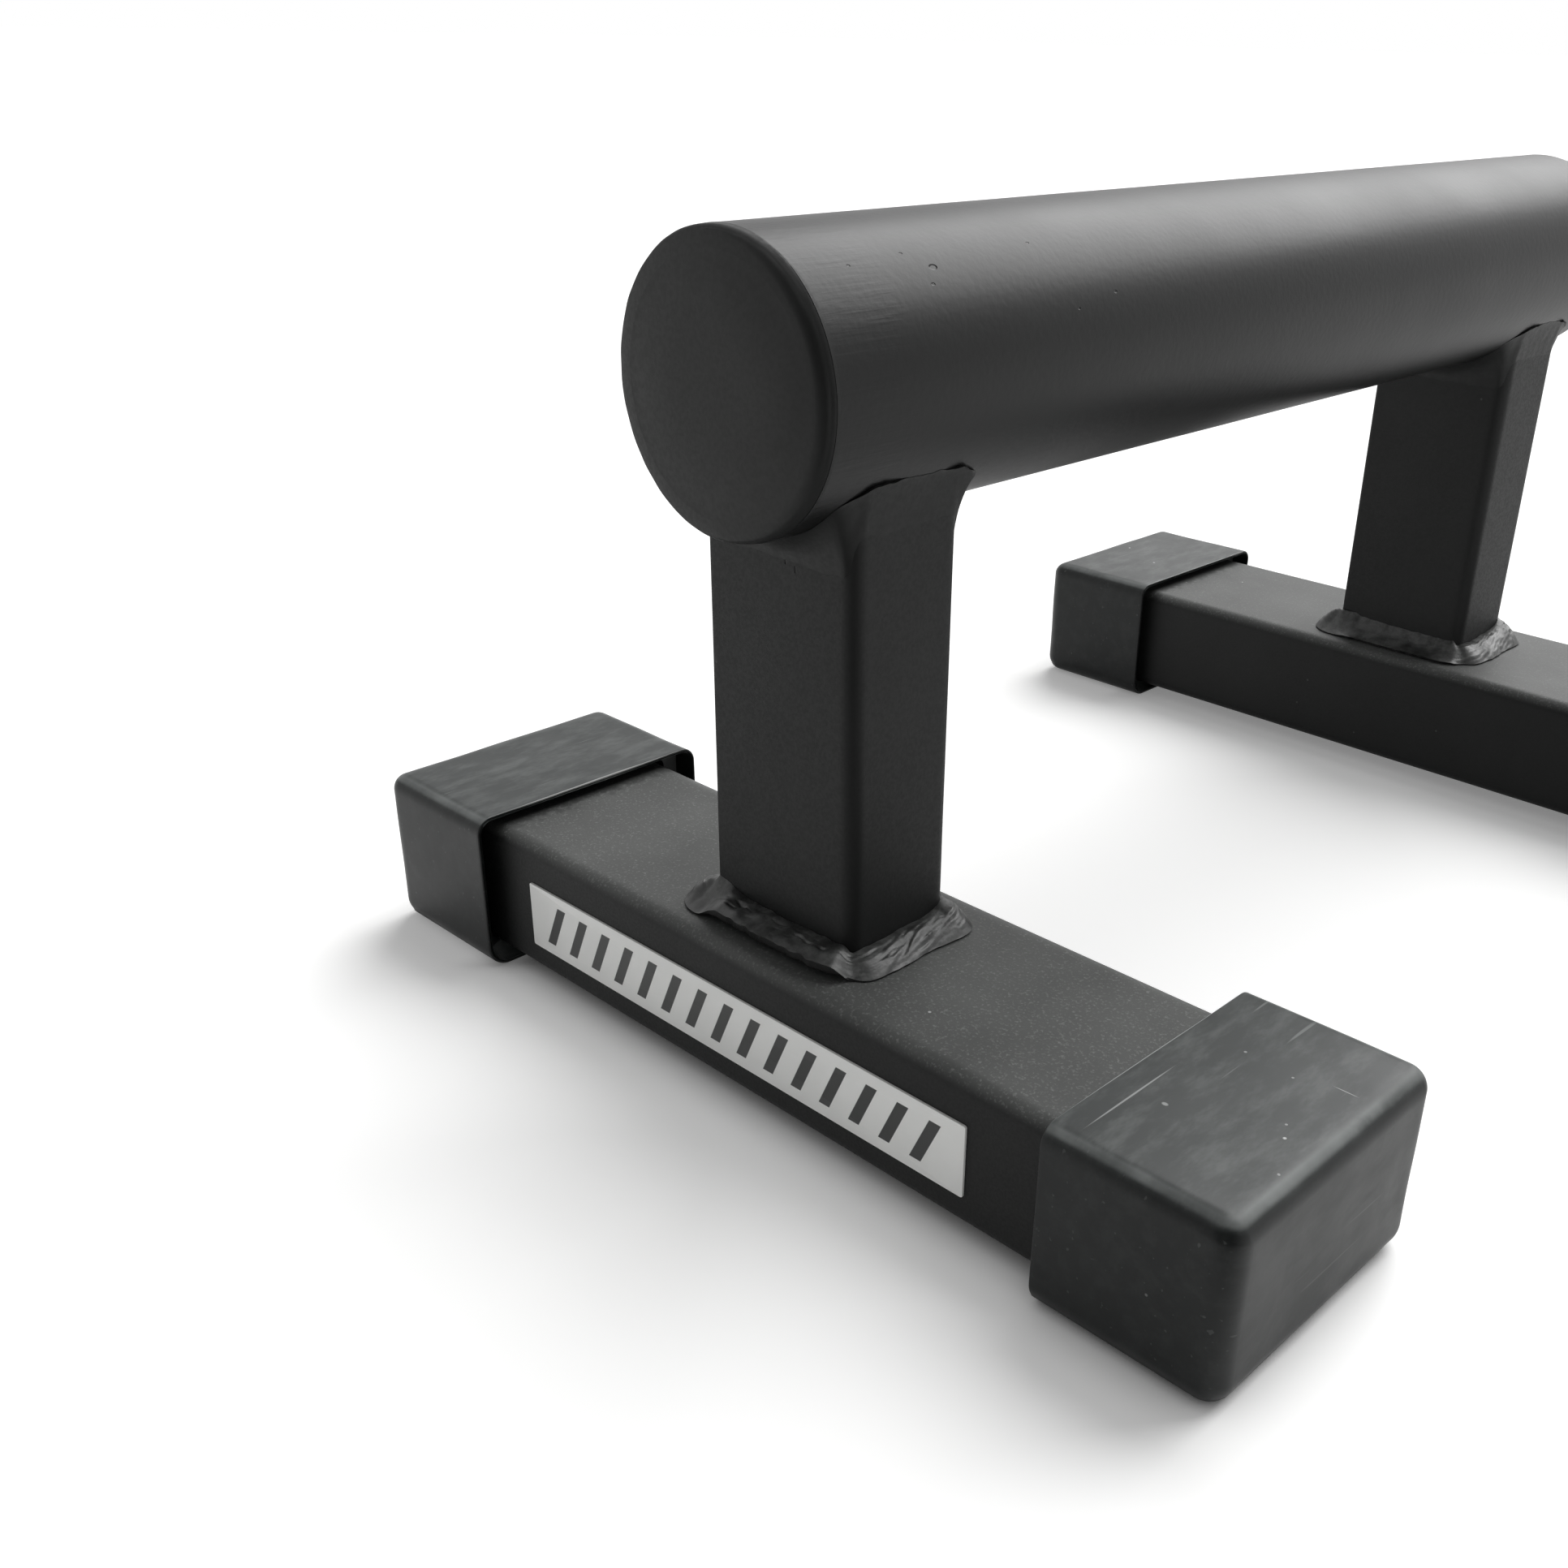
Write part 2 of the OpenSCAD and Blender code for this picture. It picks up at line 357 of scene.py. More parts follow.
def product(tree, *values):
    """The product of several values, each a socket or a number."""
    result = values[0]
    for value in values[1:]:
        result = combine(tree, "MULTIPLY", result, value)
    return result


def blend_colour(tree, factor, first, second):
    """Mixes two colours, each a socket or three numbers."""
    node = tree.nodes.new("ShaderNodeMix")
    node.data_type = "RGBA"
    tree.links.new(factor, node.inputs["Factor"])
    for socket, value in zip((node.inputs[6], node.inputs[7]), (first, second)):
        if isinstance(value, tuple):
            socket.default_value = (*value, 1)
        else:
            tree.links.new(value, socket)
    return node.outputs[2]


def mottle(tree, value, pair, low=0.3, high=0.7):
    """Mixes a pair of colours by a noise."""
    return blend_colour(tree, to_range(tree, value, low, high, 0, 1), *pair)


def upward(tree, low, high):
    """1 on faces that look up, 0 on the others."""
    geometry = tree.nodes.new("ShaderNodeNewGeometry")
    return to_range(tree, part_of(tree, geometry.outputs["Normal"], "Z"), low, high, 0, 1)


def specks(tree, vector, cells, share, radius):
    """1 on small round specks, in the given share of a metre's cells."""
    cell = tree.nodes.new("ShaderNodeTexVoronoi")
    cell.inputs["Scale"].default_value = cells
    tree.links.new(vector, cell.inputs["Vector"])
    chosen = tree.nodes.new("ShaderNodeSeparateColor")
    tree.links.new(cell.outputs["Color"], chosen.inputs["Color"])
    few = combine(tree, "LESS_THAN", chosen.outputs["Red"], share)
    near = to_range(tree, cell.outputs["Distance"], radius * 0.5, radius, 1, 0)
    return product(tree, few, near)


def vector_math(tree, operation, vector, numbers=(0, 0, 0)):
    node = tree.nodes.new("ShaderNodeVectorMath")
    node.operation = operation
    tree.links.new(vector, node.inputs[0])
    node.inputs[1].default_value = numbers
    return node


def marks(tree, place, listed):
    """1 on small oval marks, each a centre and half sizes in millimetres."""
    found = None
    for centre, half in listed:
        offset = vector_math(tree, "SUBTRACT", place, [c * MM for c in centre])
        scaled = vector_math(tree, "DIVIDE", offset.outputs["Vector"], [h * MM for h in half])
        length = vector_math(tree, "LENGTH", scaled.outputs["Vector"])
        mask = to_range(tree, length.outputs["Value"], 0.55, 1, 1, 0)
        found = mask if found is None else combine(tree, "MAXIMUM", found, mask)
    return found


def set_surface(tree, shader, colour, roughness, specular):
    tree.links.new(colour, shader.inputs["Base Color"])
    tree.links.new(roughness, shader.inputs["Roughness"])
    shader.inputs["Specular IOR Level"].default_value = specular


def add_bump(tree, shader, layers):
    """Chains bump nodes: each layer is a height, its depth in metres and its strength."""
    normal = None
    for height, depth, strength in layers:
        bump = tree.nodes.new("ShaderNodeBump")
        bump.inputs["Distance"].default_value = depth
        bump.inputs["Strength"].default_value = strength
        tree.links.new(height, bump.inputs["Height"])
        if normal is not None:
            tree.links.new(normal, bump.inputs["Normal"])
        normal = bump.outputs["Normal"]
    tree.links.new(normal, shader.inputs["Normal"])


def frame_dust_and_sheen(tree, place, cloud, peel):
    """How dusty and how lit the frame is: dust with a painted sheen, lighter on faces that look up as if
    lit from above, in patches on top and thinner at the left of a bar, which paints shade by the cap's
    mouth.
    """
    waver = to_range(tree, peel, 0.3, 0.7, -DUST_AND_SHEEN_RAGGED, DUST_AND_SHEEN_RAGGED)
    ragged = combine(tree, "ADD", part_of(tree, place, "X"), waver)
    clear = to_range(tree, ragged, DUST_AND_SHEEN_FROM, DUST_AND_SHEEN_FULL, 0.45, 1)
    patchy = product(tree, clear, to_range(tree, cloud, 0.2, 0.8, 0.65, 1))
    return product(tree, upward(tree, 0.2, 0.85), patchy)


def frame_coat():
    """Matt black powder coat with a fine grain, dusty on top, with a painted sheen and painted glints on
    top.
    """
    material, tree, shader = new_material("frame_coat")
    place = place_in_object(tree)
    cloud = noise_value(tree, place, 45, 3)
    grain = noise_value(tree, place, 1700, 2, 0.6)
    peel = noise_value(tree, place, 420, 2)
    # The dust mask also paints light on faces that look up, and paints shade near the left caps' mouths
    dust_and_sheen = frame_dust_and_sheen(tree, place, cloud, peel)
    dusty_and_lit = blend_colour(tree, dust_and_sheen, mottle(tree, cloud, FRAME_BLACKS), FRAME_DUST_AND_SHEEN)
    # Painted glints in the grain, only where the painted sheen of the tops lies
    glints = product(tree, to_range(tree, grain, 0.5, 0.78, 0, 0.85), dust_and_sheen)
    glinting = blend_colour(tree, glints, dusty_and_lit, FRAME_GLINT)
    spots = product(tree, specks(tree, place, 420, 0.02, 0.16), to_range(tree, dust_and_sheen, 0, 1, 0.06, 1))
    speckled = blend_colour(tree, spots, glinting, FRAME_SPECK)
    pits = marks(tree, place, POST_PITS)
    pitted = blend_colour(tree, pits, speckled, PIT_BLACK)
    set_surface(tree, shader, pitted, to_range(tree, grain, 0.3, 0.7, 0.50, 0.60), 0.22)
    level = combine(tree, "SUBTRACT", 1, pits)
    add_bump(tree, shader, ((peel, 0.00004, 0.3), (grain, 0.00004, 0.5), (level, 0.0004, 1)))
    return material


def grip_pits(tree, place):
    listed = []
    for angle, y, size in GRIP_PITS:
        x, _, z = about_grip(GRIP_R, math.radians(angle), 0)
        listed.append(((x / MM, y, z / MM), (size * PIT_WIDTH, size, size * PIT_WIDTH)))
    return marks(tree, place, listed)


def grip_coat():
    """Satin black coat with an orange peel and a few pits."""
    material, tree, shader = new_material("grip_coat")
    place = place_in_object(tree)
    cloud = noise_value(tree, place, 30, 3)
    peel = noise_value(tree, place, 700, 2)
    brushed = noise_value(tree, place_in_object(tree, (1, 0.07, 1)), 1100, 2)
    near_end = to_range(tree, part_of(tree, place, "Y"), STREAKS_FULL, STREAKS_FAINT, 1, 0.12)
    streaks = product(tree, to_range(tree, brushed, 0.35, 0.75, 0, 1), near_end)
    pits = combine(tree, "MAXIMUM", specks(tree, place, 200, 0.02, 0.10), grip_pits(tree, place))
    pitted = blend_colour(tree, pits, mottle(tree, cloud, GRIP_BLACKS), PIT_BLACK)
    set_surface(tree, shader, pitted, to_range(tree, cloud, 0.3, 0.7, 0.39, 0.43), 0.21)
    level = combine(tree, "SUBTRACT", 1, pits)
    add_bump(tree, shader, ((peel, 0.00008, 0.45), (streaks, 0.00005, 0.4), (level, 0.0003, 0.8)))
    return material


def matt_coat():
    """The matt coat on the ground ends of the grip and on the welds under it."""
    material, tree, shader = new_material("matt_coat")
    place = place_in_object(tree)
    cloud = noise_value(tree, place, 70, 3)
    grain = noise_value(tree, place, 1200, 2, 0.6)
    roughness = to_range(tree, grain, 0.3, 0.7, 0.48, 0.56)
    set_surface(tree, shader, mottle(tree, cloud, MATT_BLACKS), roughness, 0.22)
    add_bump(tree, shader, ((cloud, 0.0002, 0.25), (grain, 0.00003, 0.5)))
    return material


def weld_coat():
    """The frame's coat over weld metal: uneven gloss and a rougher skin, with a painted light that makes
    it paler where it looks up and a little more so on the right of a post.
    """
    material, tree, shader = new_material("weld_coat")
    place = place_in_object(tree)
    cloud = noise_value(tree, place, 160, 4)
    fibre = noise_value(tree, place, 620, 2, 0.6)
    grain = noise_value(tree, place, 1300, 3, 0.6)
    beside = to_range(tree, part_of(tree, place, "X"), POST_X - 4 * MM, POST_X + 0.5 * MM, 0.85, 1)
    patchy = to_range(tree, cloud, 0.35, 0.7, 0.35, 1)
    streaky = to_range(tree, fibre, 0.35, 0.65, 0.4, 1)
    # Paler where it looks up and on the post's right side: painted light
    painted_light = product(tree, upward(tree, 0.05, 0.75), patchy, streaky, beside)
    colour = blend_colour(tree, painted_light, mottle(tree, cloud, WELD_BLACKS), WELD_PAINTED_LIGHT)
    set_surface(tree, shader, colour, to_range(tree, cloud, 0.3, 0.7, 0.34, 0.52), 0.4)
    add_bump(tree, shader, ((cloud, 0.0002, 0.3), (fibre, 0.00012, 0.4), (grain, 0.00005, 0.4)))
    return material


def worn_and_lit_rubber(tree, place, haze, smear):
    """The colour of the rubber: greyed on top by dust with a painted sheen and by scuffs, with a painted
    highlight along the rounded edges of the top.
    """
    top = upward(tree, 0.45, 0.9)
    rubber = mottle(tree, haze, RUBBER_BLACKS, 0.35)
    # Tops lighter by dust and by a painted sheen
    dusty_lit_top = blend_colour(tree, top, rubber, RUBBER_TOP_DUST_AND_SHEEN)
    scuffed = product(tree, to_range(tree, smear, 0.4, 0.75, 0, 0.85), to_range(tree, top, 0, 1, 0.12, 1))
    scuffed_and_lit = blend_colour(tree, scuffed, dusty_lit_top, RUBBER_SCUFF)
    # A painted highlight on the rounded edges between the top and the sides
    edge_highlight = product(tree, upward(tree, 0.62, 0.8), combine(tree, "SUBTRACT", 1, upward(tree, 0.9, 0.995)))
    highlighted = product(tree, edge_highlight, to_range(tree, haze, 0.35, 0.65, 0.35, 1))
    scuffed_and_lit = blend_colour(tree, highlighted, scuffed_and_lit, RUBBER_EDGE_HIGHLIGHT)
    scratch = noise_value(tree, place_in_object(tree, (1, 0.04, 1), (0, 0, 70)), 900, 1)
    lines = product(tree, to_range(tree, scratch, 0.71, 0.78, 0, 1), to_range(tree, top, 0, 1, 0.2, 0.8))
    scratched = blend_colour(tree, lines, scuffed_and_lit, RUBBER_SCRATCH)
    dots = product(tree, specks(tree, place, 330, 0.02, 0.14), to_range(tree, top, 0, 1, 0.25, 1))
    # Specks and marks, among them painted highlight lines along the mouths' top edges
    dotted = combine(tree, "MAXIMUM", dots, product(tree, marks(tree, place, CAP_MARKS_AND_HIGHLIGHTS), 0.5))
    return blend_colour(tree, dotted, scratched, RUBBER_SPECK)


def cap_rubber():
    """Smooth black rubber with haze, fine scratches and dust specks, and painted light: a sheen on top and
    highlights along its upper edges.
    """
    material, tree, shader = new_material("cap_rubber")
    place = place_in_object(tree)
    haze = noise_value(tree, place, 55, 4, 0.6, 0.6)
    smear = noise_value(tree, place_in_object(tree, (1, 0.35, 1), (0, 0, 35)), 260, 4, 0.65)
    fine = noise_value(tree, place, 1100, 2)
    colour = worn_and_lit_rubber(tree, place, haze, smear)
    set_surface(tree, shader, colour, to_range(tree, haze, 0.3, 0.7, 0.36, 0.46), 0.21)
    add_bump(tree, shader, ((smear, 0.00006, 0.3), (fine, 0.00002, 0.3)))
    return material


def label_ink(tree, low, high):
    """1 on the label's slanted stripes."""
    place = place_in_object(tree)
    middle_x = (low[0] + high[0]) / 2
    middle_z = (low[2] + high[2]) / 2
    reach = (high[0] - low[0]) / 2 - LABEL_MARGIN
    pitch = 2 * reach / LABEL_STRIPES
    height = combine(tree, "SUBTRACT", part_of(tree, place, "Z"), middle_z)
    along = combine(tree, "SUBTRACT", part_of(tree, place, "X"), product(tree, height, STRIPE_LEAN))
    count = combine(tree, "DIVIDE", combine(tree, "SUBTRACT", along, low[0] + LABEL_MARGIN), pitch)
    phase = combine(tree, "FRACT", count)
    from_stripe = combine(tree, "ABSOLUTE", combine(tree, "SUBTRACT", phase, 0.5))
    stripe = to_range(tree, from_stripe, *STRIPE_SIDE, 1, 0)
    from_middle_z = combine(tree, "ABSOLUTE", height)
    tall = to_range(tree, from_middle_z, STRIPE_HALF_HEIGHT, STRIPE_HALF_HEIGHT + STRIPE_BLUR, 1, 0)
    from_middle_x = combine(tree, "ABSOLUTE", combine(tree, "SUBTRACT", along, middle_x))
    wide = to_range(tree, from_middle_x, reach - STRIPE_BLUR, reach, 1, 0)
    return product(tree, stripe, tall, wide)


def label_film():
    """Pale grey film printed with plain slanted stripes."""
    material, tree, shader = new_material("label_film")
    cloud = noise_value(tree, place_in_object(tree), 90, 3)
    ink = label_ink(tree, *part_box("front_label"))
    printed = blend_colour(tree, ink, mottle(tree, cloud, FILM_GREYS), INK)
    set_surface(tree, shader, printed, to_range(tree, cloud, 0.3, 0.7, 0.34, 0.42), 0.5)
    add_bump(tree, shader, ((cloud, 0.00005, 0.2),))
    return material


def seen_directly(tree):
    """1 for the rays that show a surface itself, 0 for those that carry its light."""
    path = tree.nodes.new("ShaderNodeLightPath")
    seen = combine(tree, "MAXIMUM", path.outputs["Is Camera Ray"], path.outputs["Is Glossy Ray"])
    return combine(tree, "MAXIMUM", seen, path.outputs["Is Transmission Ray"])


def open_to_light(tree):
    """1 on open floor, falling to 0 close to the front bar and its right cap, where the glow's fade paints
    a contact shade.
    """
    around = tree.nodes.new("ShaderNodeAmbientOcclusion")
    around.inputs["Distance"].default_value = CONTACT_REACH
    place = place_in_object(tree)
    behind = to_range(tree, part_of(tree, place, "Y"), *GLOW_BEHIND, 0, GLOW_KEPT)
    aside = to_range(tree, part_of(tree, place, "X"), *GLOW_ASIDE, GLOW_KEPT, 0)
    clear = to_range(tree, around.outputs["AO"], 0.1, 1, 0, 1)
    return combine(tree, "MAXIMUM", combine(tree, "MAXIMUM", clear, behind), aside)


def floor_white():
    """A white floor, lifted towards white by a painted glow that fades into a painted contact shade close
    to the front bar and its right cap; the lamps' shadows stay.
    """
    material, tree, shader = new_material("floor_white")
    shader.inputs["Base Color"].default_value = FLOOR_COLOUR
    shader.inputs["Roughness"].default_value = 0.95
    shader.inputs["Specular IOR Level"].default_value = 0
    glow = tree.nodes.new("ShaderNodeEmission")
    strength = product(tree, seen_directly(tree), open_to_light(tree), FLOOR_GLOW)
    tree.links.new(strength, glow.inputs["Strength"])
    both = tree.nodes.new("ShaderNodeAddShader")
    tree.links.new(shader.outputs["BSDF"], both.inputs[0])
    tree.links.new(glow.outputs["Emission"], both.inputs[1])
    tree.links.new(both.outputs["Shader"], tree.nodes["Material Output"].inputs["Surface"])
    return material


def make_sheet(name, corners, material):
    mesh = bpy.data.meshes.new(name)
    mesh.from_pydata(corners, [], [(0, 1, 2, 3)])
    mesh.materials.append(material)
    sheet = bpy.data.objects.new(name, mesh)
    bpy.context.collection.objects.link(sheet)
    return sheet


def make_floor():
    signs = ((-1, -1), (1, -1), (1, 1), (-1, 1))
    make_sheet("floor", [(FLOOR_REACH * x, FLOOR_REACH * y, 0) for x, y in signs], floor_white())


def make_card(name, corners):
    material, tree, shader = new_material(name + "_black")
    shader.inputs["Base Color"].default_value = CARD_COLOUR
    shader.inputs["Roughness"].default_value = 1
    card = make_sheet(name, corners, material)
    card.visible_camera = False
    card.visible_diffuse = False
    card.visible_shadow = False


def make_cards():
    near = [Vector((*place, CARD_LIFT)) for place in CARD_EDGE]
    edge = near[1] - near[0]
    away = Vector((edge.y, -edge.x, 0)).normalized() * CARD_DEPTH
    make_card("card", [*near, near[1] + away, near[0] + away])
    left, right = (Vector((*place, SCREEN_LIFT)) for place in SCREEN_ENDS)
    rise = Vector((0, 0, SCREEN_TOP))
    make_card("screen", [left, right, right + rise, left + rise])


def add_sun(name, towards, strength, angle):
    data = bpy.data.lights.new(name, "SUN")
    data.energy = strength
    data.angle = math.radians(angle)
    sun = bpy.data.objects.new(name, data)
    sun.rotation_euler = Vector(towards).to_track_quat("Z", "Y").to_euler()
    bpy.context.collection.objects.link(sun)


def make_light():
    world = bpy.data.worlds.new("world")
    bpy.context.scene.world = world
    world.use_nodes = True
    tree = world.node_tree
    background = tree.nodes["Background"]
    strength = to_range(tree, seen_directly(tree), 0, 1, WORLD_LIGHT, 1)
    tree.links.new(strength, background.inputs["Strength"])
    background.inputs["Color"].default_value = (1, 1, 1, 1)
    add_sun("overhead", OVERHEAD_TOWARDS, OVERHEAD_LIGHT, OVERHEAD_ANGLE)
    add_sun("backlight", BACK_TOWARDS, BACK_LIGHT, BACK_ANGLE)


def corner_arc(middle, radius, start, steps):
    """Points and outward directions round a quarter circle, from the start angle in degrees."""
    arc = []
    for step in range(steps + 1):
        angle = math.radians(start + 90 * step / steps)
        direction = (math.cos(angle), math.sin(angle))
        point = (middle[0] + radius * direction[0], middle[1] + radius * direction[1])
        arc.append((point, direction))
    return arc


def rounded_outline(half_u, half_v, radii, steps):
    """Points (u, v) and outward directions anticlockwise round a rectangle, with a radius a corner."""
    arc_steps, long_steps, short_steps = steps
    signs = ((1, 1), (-1, 1), (-1, -1), (1, -1))
    arcs = []
    for quarter, ((u_sign, v_sign), radius) in enumerate(zip(signs, radii)):
        middle = (u_sign * (half_u - radius), v_sign * (half_v - radius))
        arcs.append(corner_arc(middle, radius, 90 * quarter, arc_steps))
    stations = []
    for quarter, arc in enumerate(arcs):
        stations += arc
        (start, direction), (finish, _) = arc[-1], arcs[(quarter + 1) % 4][0]
        between = short_steps if quarter % 2 else long_steps
        for step in range(1, between):
            t = step / between
            point = (start[0] + (finish[0] - start[0]) * t, start[1] + (finish[1] - start[1]) * t)
            stations.append((point, direction))
    return stations


def across_x(outline, x, middle_y, middle_z):
    """The ring that an outline makes at x, with its u along Y and its v along Z."""
    return [(x, middle_y + u, middle_z + v) for (u, v), _ in outline]


def loft(rings, closed=False):
    """A closed skin through rings of points. An open run of rings gets a fan of faces over each end."""
    skin = bmesh.new()
    rows = [[skin.verts.new(point) for point in ring] for ring in rings]
    following = rows[1:] + rows[:1] if closed else rows[1:]
    for near, far in zip(rows, following):
        for k in range(len(near)):
            after = (k + 1) % len(near)
            skin.faces.new((near[k], near[after], far[after], far[k]))
    if not closed:
        for row in (rows[0], rows[-1]):
            middle = skin.verts.new(sum((v.co for v in row), Vector()) / len(row))
            for k in range(len(row)):
                skin.faces.new((row[k], row[(k + 1) % len(row)], middle))
    bmesh.ops.recalc_face_normals(skin, faces=skin.faces)
    return skin


def roughen(skin, depth, grain, seed, keep=None):
    """Sinks each point along its normal by a smooth noise of the given depth and grain size."""
    skin.normal_update()
    shift = Vector((seed, 2 * seed, 0))
    for vertex in skin.verts:
        if keep is None or keep(vertex.co):
            vertex.co -= vertex.normal * depth * (0.5 + 0.5 * noise.noise(vertex.co / grain + shift))


def ease(value, low, high):
    """Rises smoothly from 0 at low to 1 at high."""
    t = min(max((value - low) / (high - low), 0), 1)
    return t * t * (3 - 2 * t)


def hump(value, middle, width):
    """1 at the middle, falling off smoothly to both sides."""
    return math.exp(-((value - middle) / width) ** 2)


def finish_piece(skin, name, node, material, sharp=40):
    """Makes the object that stands for a node and hides the node; it rides on the one body and wears the
    given material.
    """
    mesh = bpy.data.meshes.new(name)
    skin.to_mesh(mesh)
    skin.free()
    mesh.polygons.foreach_set("use_smooth", [True] * len(mesh.polygons))
    mesh.set_sharp_from_angle(angle=math.radians(sharp))
    mesh.materials.append(material)
    piece = bpy.data.objects.new(name, mesh)
    bpy.context.collection.objects.link(piece)
    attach(piece, "root")
    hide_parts(node)


def about_grip(radius, turn, y):
    """A point at a radius and a turn about the grip's axis."""
    return (radius * math.cos(turn), y, GRIP_Z + radius * math.sin(turn))


def grip_ring(radius, y):
    return [about_grip(radius, turn, y) for turn in GRIP_TURNS]


def from_grip_axis(place):
    return math.hypot(place.x, place.z - GRIP_Z)


def make_grip_tube(material):
    stops = [TUBE_END * (2 * k / GRIP_LENGTHS - 1) for k in range(GRIP_LENGTHS + 1)]
    bore = GRIP_R - GRIP_WALL
    rings = [grip_ring(GRIP_R, y) for y in stops]
    rings += [grip_ring(bore, y) for y in (TUBE_END, 0, -TUBE_END)]
    skin = loft(rings, closed=True)
    roughen(skin, 0.06 * MM, 22 * MM, 3, keep=lambda place: abs(place.y) < TUBE_END - TUBE_SMOOTH)
    finish_piece(skin, "grip_tube_coated", "grip_tube", material)


def end_edge(turn):
    """The radius of the rounding at the grip's end, which grows towards the right."""
    return END_EDGE_LEFT + (END_EDGE_RIGHT - END_EDGE_LEFT) * ease(math.cos(turn), -0.3, 0.85)


def end_face(radius, turn):
    """How far the slightly domed end of the grip reaches along Y."""
    share = max(radius - END_FLAT_R, 0) / (GRIP_R - end_edge(turn) - END_FLAT_R)
    return GRIP_END - END_DOME * share ** 2.2


def disc_section(turn, radius):
    """A point of the end plate's face: its radius and its reach along Y."""
    return radius, end_face(radius, turn)


def flat_section(turn, share):
    """A point of the face between the plate, at share 0, and the rounding, at share 1."""
    return disc_section(turn, PLATE_R + (GRIP_R - end_edge(turn) - PLATE_R) * share)


def edge_section(turn, angle):
    """A point of the rounding, from the grip's side at angle 0 towards its face."""
    edge = end_edge(turn)
    middle = GRIP_R - edge
    return middle + edge * math.cos(angle), end_face(middle, turn) - edge * (1 - math.sin(angle))


def end_ring(end, section, value):
    """A ring about the grip's axis, through the section's point for the value at each turn."""
    ring = []
    for turn in GRIP_TURNS:
        radius, y = section(turn, value)
        ring.append(about_grip(radius, turn, y * end))
    return ring


def make_end_disc(label, end, material):
    rings = [grip_ring(PLATE_R, PLATE_IN * end)]
    for k in range(DISC_RINGS):
        rings.append(end_ring(end, disc_section, PLATE_R * (1 - k / DISC_RINGS)))
    skin = loft(rings)
    roughen(skin, 0.1 * MM, 11 * MM, 5, keep=lambda place: from_grip_axis(place) < 0.96 * PLATE_R)
    finish_piece(skin, label + "_grip_end_disc", label + "_grip_end_plate", material)


def on_end_edge(place):
    return from_grip_axis(place) > GRIP_R - END_EDGE_LEFT and abs(place.y) > TUBE_END + END_SMOOTH


def make_end_bead(label, end, material):
    rings = [grip_ring(radius, TUBE_END * end) for radius in (PLATE_R, GRIP_R)]
    for k in range(END_EDGE_STEPS + 1):
        rings.append(end_ring(end, edge_section, END_EDGE_ARC * k / END_EDGE_STEPS))
    for share in (0.5, 0):
        rings.append(end_ring(end, flat_section, share))
    skin = loft(rings, closed=True)
    roughen(skin, 0.16 * MM, 3.5 * MM, 7, keep=on_end_edge)
    finish_piece(skin, label + "_grip_end_bead", label + "_grip_end_weld", material)


def grip_underside(x):
    return GRIP_Z - math.sqrt(GRIP_R ** 2 - x ** 2)


def post_ring(outline, end, share):
    """A ring round a post, at a share of the way from the base bar up to the grip."""
    ring = []
    for (u, v), _ in outline:
        ring.append((u, end * POST_Y + v, BAR_TOP + (grip_underside(u) - BAR_TOP) * share))
    return ring


def make_post(label, end, material):
    outer = rounded_outline(POST_X, POST_HALF_Y, POST_RADII, POST_STEPS)
    bore_radii = (POST_R - POST_WALL,) * 4
    inner = rounded_outline(POST_X - POST_WALL, POST_HALF_Y - POST_WALL, bore_radii, POST_STEPS)
    rings = [post_ring(outer, end, k / POST_HEIGHTS) for k in range(POST_HEIGHTS + 1)]
    rings += [post_ring(inner, end, share) for share in (1, 0.5, 0)]
    skin = loft(rings, closed=True)
    roughen(skin, 0.08 * MM, 17 * MM, 11 * end)
    finish_piece(skin, label + "_post_coated", label + "_post", material)


def make_base_bar(label, end, material):
    outer = rounded_outline(BAR_HALF_Y, BAR_HALF_Z, BAR_RADII[label], BAR_STEPS)
    bore_radii = (BAR_R - BAR_WALL,) * 4
    inner = rounded_outline(BAR_HALF_Y - BAR_WALL, BAR_HALF_Z - BAR_WALL, bore_radii, BAR_STEPS)
    middle_y = end * POST_Y
    stops = [BAR_X * (2 * k / BAR_LENGTHS - 1) for k in range(BAR_LENGTHS + 1)]
    rings = [across_x(outer, x, middle_y, BAR_Z) for x in stops]
    rings += [across_x(inner, x, middle_y, BAR_Z) for x in (BAR_X, 0, -BAR_X)]
    skin = loft(rings, closed=True)
    roughen(skin, 0.05 * MM, 19 * MM, 13 * end, keep=lambda place: abs(place.x) < 0.99 * BAR_X)
    finish_piece(skin, label + "_base_bar_coated", label + "_base_bar", material)


def cap_ring(end, side, x, shrink):
    """A ring round the cap at x, drawn in from the cap's outside by shrink."""
    half_z = CAP_TOP / 2
    corners = (CAP_UPPER_R, CAP_UPPER_R, CAP_LOWER_R, CAP_LOWER_R)
    radii = [max(radius - shrink, CAP_LEAST_R) for radius in corners]
    outline = rounded_outline(CAP_HALF_Y - shrink, half_z - shrink, radii, CAP_STEPS)
    return across_x(outline, side * x, end * POST_Y, half_z)


def bar_ring(end, side, x):
    """A ring just clear of the base bar at x, where the cap grips it."""
    slack = CAP_SLACK / 2
    outline = rounded_outline(BAR_HALF_Y + slack, BAR_HALF_Z + slack, (BAR_R,) * 4, CAP_STEPS)
    return across_x(outline, side * x, end * POST_Y, BAR_Z)


